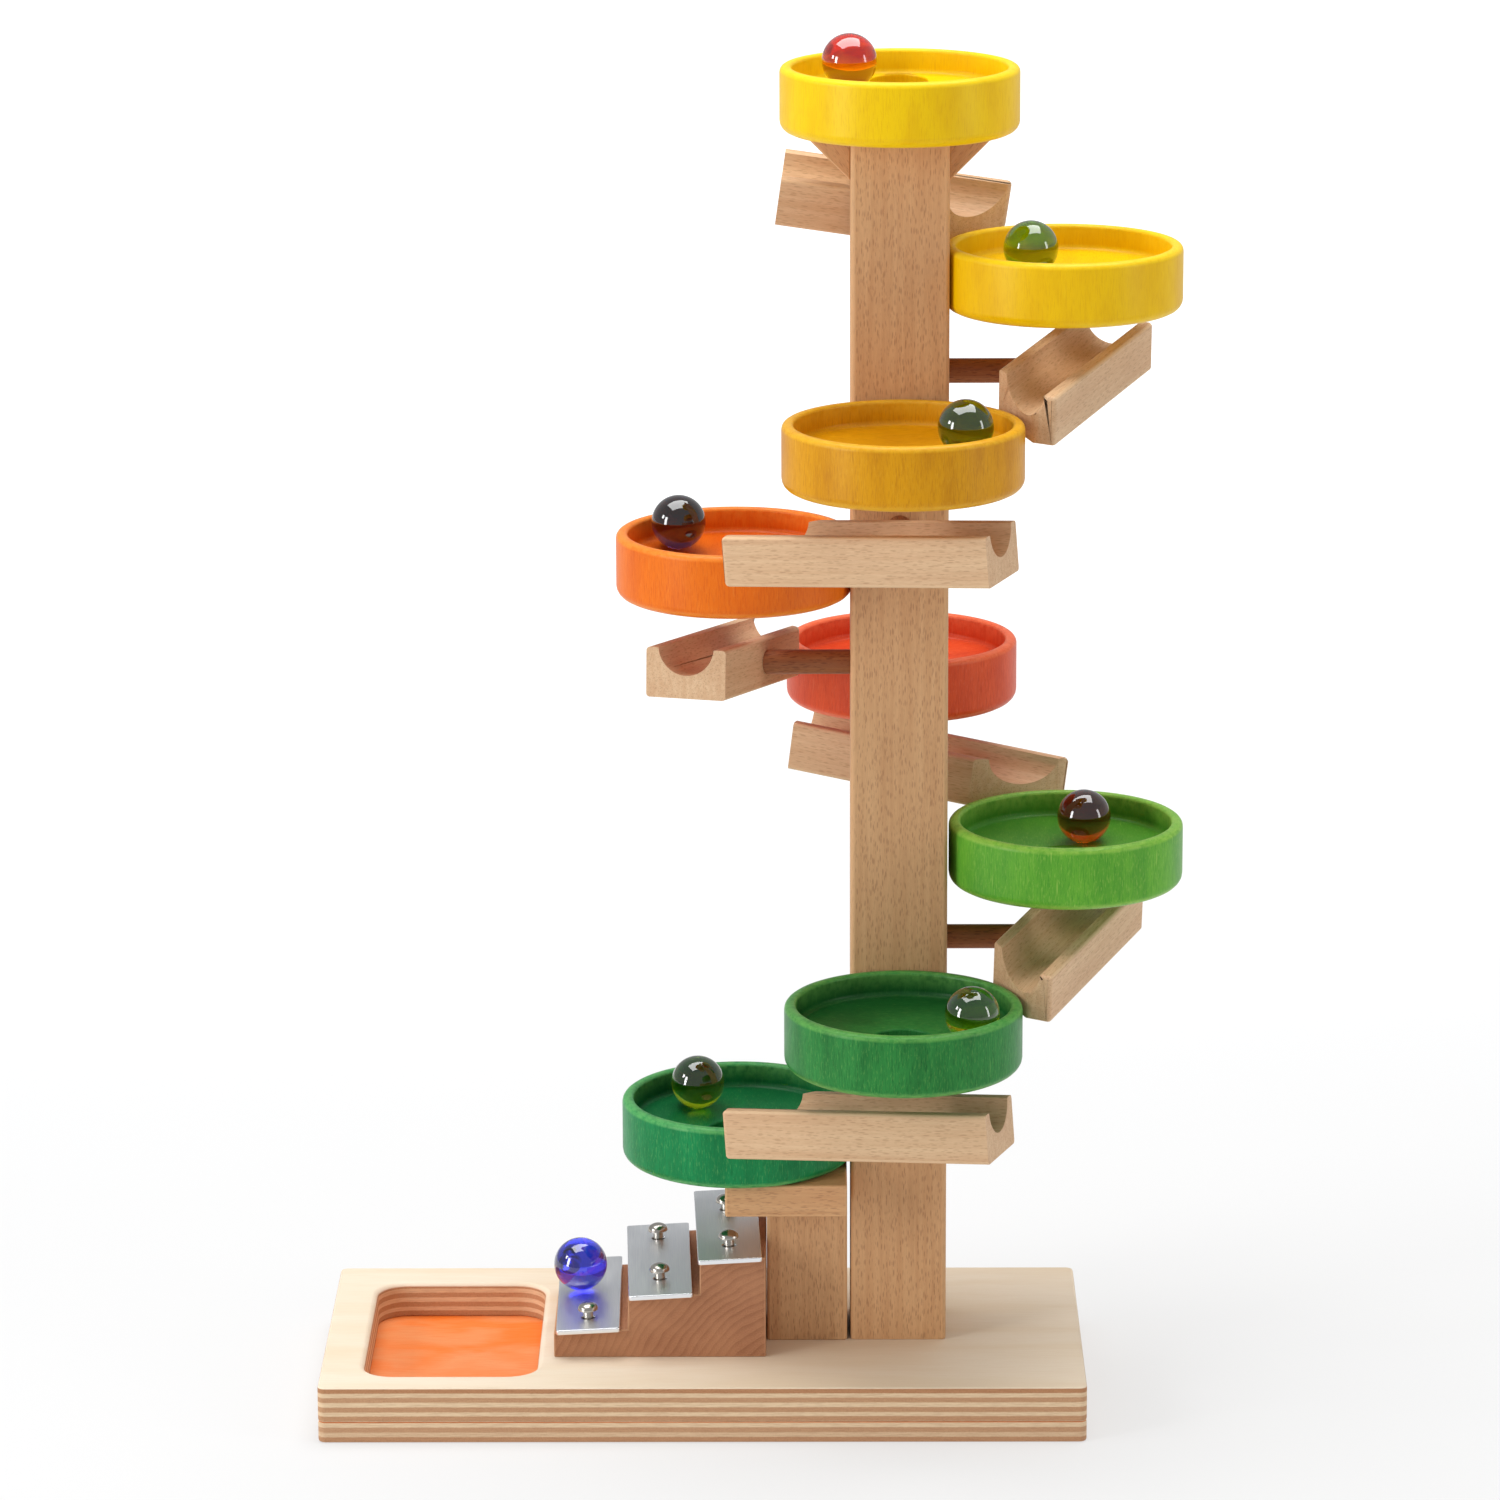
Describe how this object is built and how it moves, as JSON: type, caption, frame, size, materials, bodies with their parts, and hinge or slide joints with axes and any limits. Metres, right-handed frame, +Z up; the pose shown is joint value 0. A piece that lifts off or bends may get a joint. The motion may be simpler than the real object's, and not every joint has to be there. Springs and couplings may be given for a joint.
{
  "type": "wooden marble run",
  "caption": "Spiral marble run: stained wooden bowls and beech chutes wind down a square post to sounding steps and a catch tray on a plywood base.",
  "frame": {"origin": "centre of the base's underside", "axes": "+Z up the post, +X towards the post's end of the base, away from the catch tray, +Y to the back"},
  "size_m": [0.2546, 0.1648, 0.4062],
  "materials": {
    "birch_ply": "pale birch plywood, sanded, layered edges",
    "tray_floor": "plywood, orange stain in the tray",
    "beech": "sanded beech with short dark flecks",
    "beech_end_grain": "beech end grain with growth rings",
    "dowel_wood": "reddish brown hardwood rod",
    "bowl_stain_1": "bright yellow wood stain, satin, grain showing",
    "bowl_stain_2": "yellow wood stain, satin, grain showing",
    "bowl_stain_3": "golden ochre wood stain, satin, grain showing",
    "bowl_stain_4": "orange wood stain, satin, grain showing",
    "bowl_stain_5": "coral red wood stain, satin, grain showing",
    "bowl_stain_6": "leaf green wood stain, satin, grain showing",
    "bowl_stain_7": "mid green wood stain, satin, grain showing",
    "bowl_stain_8": "emerald green wood stain, satin, grain showing",
    "plate_metal": "fine brushed",
    "pin_metal": "nickel plated, bright",
    "glass_1": "red and orange glass with a bright lustre",
    "glass_2": "green glass with a bright lustre",
    "glass_3": "dark green glass with a bright lustre",
    "glass_4": "dark blue glass with a bright lustre",
    "glass_5": "amber red glass with a bright lustre",
    "glass_6": "yellow green glass with a bright lustre",
    "glass_7": "olive glass with a bright lustre",
    "glass_8": "deep blue glass with a bright lustre"
  },
  "bodies": {
    "stand": {"base_plate": "tray_floor", "base_board": "birch_ply", "main_post": "beech", "short_post": "beech", "support_block": "beech", "brace_left": "beech", "brace_right": "beech", "bowl_1": "bowl_stain_1", "bowl_2": "bowl_stain_2", "bowl_3": "bowl_stain_3", "bowl_4": "bowl_stain_4", "bowl_5": "bowl_stain_5", "bowl_6": "bowl_stain_6", "bowl_7": "bowl_stain_7", "bowl_8": "bowl_stain_8", "chute_1": "beech", "chute_2": "beech", "chute_3": "beech", "chute_4": "beech", "chute_5": "beech", "chute_6": "beech", "chute_7": "beech", "dowel_2": "dowel_wood", "dowel_3": "dowel_wood", "dowel_4": "dowel_wood", "dowel_5": "dowel_wood", "dowel_6": "dowel_wood", "dowel_7": "dowel_wood", "step_block": "beech_end_grain", "plate_pin_1": "pin_metal", "plate_pin_2": "pin_metal", "plate_pin_3": "pin_metal", "plate_pin_4": "pin_metal", "plate_pin_5": "pin_metal", "plate_pin_6": "pin_metal"},
    "plate_1": {"sound_plate_1": "plate_metal"},
    "plate_2": {"sound_plate_2": "plate_metal"},
    "plate_3": {"sound_plate_3": "plate_metal"},
    "loose_marble_1": {"marble_1": "glass_1"},
    "loose_marble_2": {"marble_2": "glass_2"},
    "loose_marble_3": {"marble_3": "glass_3"},
    "loose_marble_4": {"marble_4": "glass_4"},
    "loose_marble_5": {"marble_5": "glass_5"},
    "loose_marble_6": {"marble_6": "glass_6"},
    "loose_marble_7": {"marble_7": "glass_7"},
    "loose_marble_8": {"marble_8": "glass_8"}
  },
  "joints": [
    {"name": "plate_1_rattle", "type": "slide", "parent": "stand", "child": "plate_1", "axis": [-0.0454, 0, 0.999], "range_m": [0, 0.0014]},
    {"name": "plate_2_rattle", "type": "slide", "parent": "stand", "child": "plate_2", "axis": [-0.0454, 0, 0.999], "range_m": [0, 0.0014]},
    {"name": "plate_3_rattle", "type": "slide", "parent": "stand", "child": "plate_3", "axis": [-0.0454, 0, 0.999], "range_m": [0, 0.0014]},
    {"name": "marble_1_lift", "type": "slide", "parent": "stand", "child": "loose_marble_1", "axis": [0, 0, 1], "range_m": [0, 0.06]},
    {"name": "marble_2_lift", "type": "slide", "parent": "stand", "child": "loose_marble_2", "axis": [0.5, 0, 0.866], "range_m": [0, 0.06]},
    {"name": "marble_3_lift", "type": "slide", "parent": "stand", "child": "loose_marble_3", "axis": [0, 0, 1], "range_m": [0, 0.06]},
    {"name": "marble_4_lift", "type": "slide", "parent": "stand", "child": "loose_marble_4", "axis": [0, 0, 1], "range_m": [0, 0.06]},
    {"name": "marble_5_lift", "type": "slide", "parent": "stand", "child": "loose_marble_5", "axis": [0, 0, 1], "range_m": [0, 0.06]},
    {"name": "marble_6_lift", "type": "slide", "parent": "stand", "child": "loose_marble_6", "axis": [0, 0, 1], "range_m": [0, 0.06]},
    {"name": "marble_7_lift", "type": "slide", "parent": "stand", "child": "loose_marble_7", "axis": [0, 0, 1], "range_m": [0, 0.06]},
    {"name": "marble_8_lift", "type": "slide", "parent": "plate_1", "child": "loose_marble_8", "axis": [0, 0, 1], "range_m": [0, 0.06]}
  ]
}
